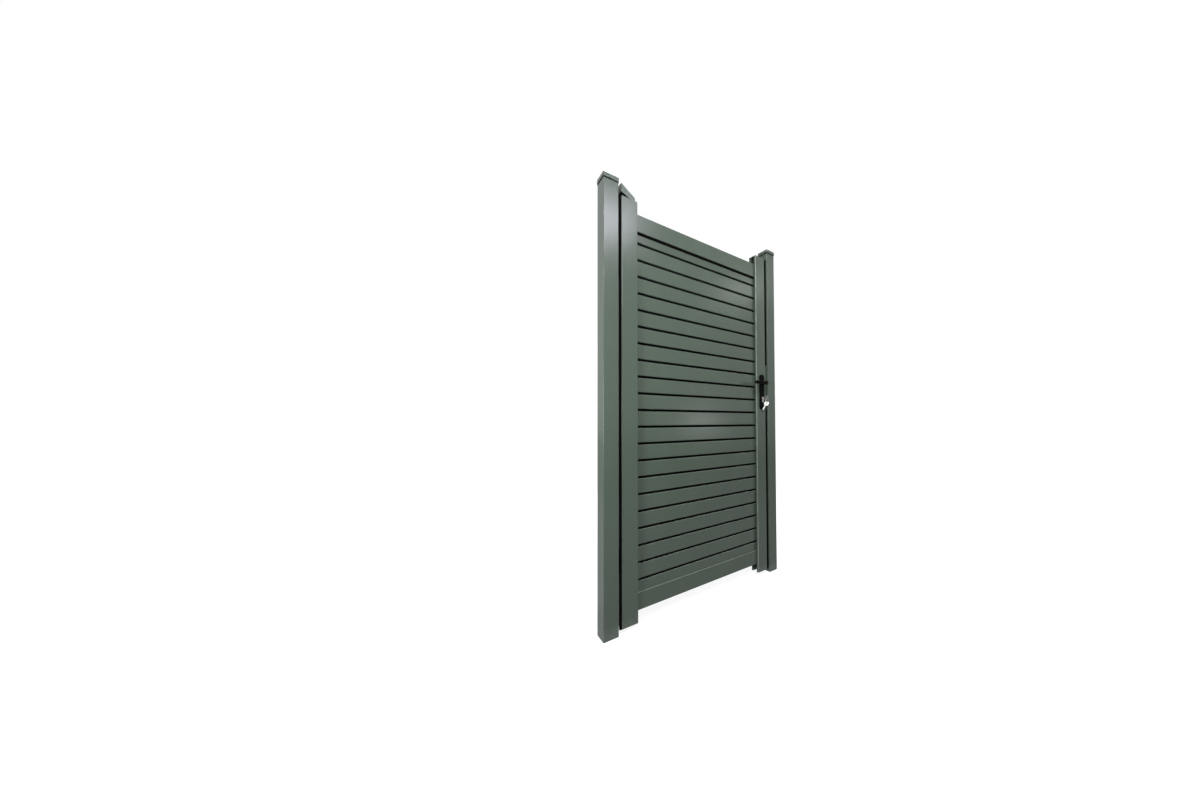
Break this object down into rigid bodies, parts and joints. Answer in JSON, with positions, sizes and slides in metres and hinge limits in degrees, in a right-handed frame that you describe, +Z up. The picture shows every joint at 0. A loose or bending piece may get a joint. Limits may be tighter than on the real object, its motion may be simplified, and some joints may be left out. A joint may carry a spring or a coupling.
{
  "type": "pedestrian gate",
  "caption": "Single-leaf garden gate of horizontal privacy slats in a stile-and-rail frame, hung between two capped square posts, with lever handles, a profile cylinder and a key on a ring.",
  "frame": {"origin": "centre of the hinge post's foot, at ground level", "axes": "+X from the hinge post to the latch post, +Y to the rear, the side the leaf opens to, +Z up"},
  "size_m": [1.0755, 0.1455, 1.88],
  "materials": {
    "powder_coat": "satin grey-green powder coat on aluminium",
    "black_furniture": "satin black coated handle furniture",
    "nickel": "worn nickel plate",
    "hinge_steel": "coated steel butt hinge",
    "lock_steel": "brushed stainless steel"
  },
  "bodies": {
    "posts": {"hinge_post": "powder_coat", "latch_post": "powder_coat", "hinge_post_cap": "powder_coat", "latch_post_cap": "powder_coat", "upper_hinge_post_leaf": "hinge_steel", "lower_hinge_post_leaf": "hinge_steel", "latch_keeper": "powder_coat"},
    "gate_leaf": {"hinge_stile": "powder_coat", "latch_stile": "powder_coat", "top_rail": "powder_coat", "bottom_rail": "powder_coat", "slat_01": "powder_coat", "slat_02": "powder_coat", "slat_03": "powder_coat", "slat_04": "powder_coat", "slat_05": "powder_coat", "slat_06": "powder_coat", "slat_07": "powder_coat", "slat_08": "powder_coat", "slat_09": "powder_coat", "slat_10": "powder_coat", "slat_11": "powder_coat", "slat_12": "powder_coat", "slat_13": "powder_coat", "slat_14": "powder_coat", "slat_15": "powder_coat", "slat_16": "powder_coat", "slat_17": "powder_coat", "slat_18": "powder_coat", "slat_19": "powder_coat", "slat_20": "powder_coat", "slat_21": "powder_coat", "slat_22": "powder_coat", "hinge_stile_cap": "powder_coat", "latch_stile_cap": "powder_coat", "upper_hinge_gate_leaf": "hinge_steel", "lower_hinge_gate_leaf": "hinge_steel", "front_handle_plate": "black_furniture", "rear_handle_plate": "black_furniture", "lock_cylinder": "nickel", "lock_forend": "lock_steel"},
    "lever_pair": {"front_lever": "black_furniture", "rear_lever": "black_furniture"},
    "lock_key": {"lock_plug": "nickel", "key": "nickel"},
    "hanging_keys": {"key_ring": "nickel", "spare_key": "nickel"}
  },
  "joints": [
    {"name": "gate_swing", "type": "hinge", "parent": "posts", "child": "gate_leaf", "pos_m": [0.041, 0.0395, 0], "axis": [0, 0, 1], "range_deg": [0, 100]},
    {"name": "lever_turn", "type": "hinge", "parent": "gate_leaf", "child": "lever_pair", "pos_m": [0.9245, 0, 1.086], "axis": [0, -1, 0], "range_deg": [0, 40], "stiffness_Nm_per_rad": 1.2, "springref_deg": -28.65},
    {"name": "key_turn", "type": "hinge", "parent": "gate_leaf", "child": "lock_key", "pos_m": [0.9245, -0.05, 1.001], "axis": [0, -1, 0], "range_deg": [0, 90]},
    {"name": "keys_hang", "type": "hinge", "parent": "lock_key", "child": "hanging_keys", "pos_m": [0.9245, -0.06525, 0.99313], "axis": [0, -1, 0], "range_deg": [-90, 0]}
  ],
  "couplings": [
    {"joint": "keys_hang", "follows": "key_turn", "ratio": -1}
  ]
}
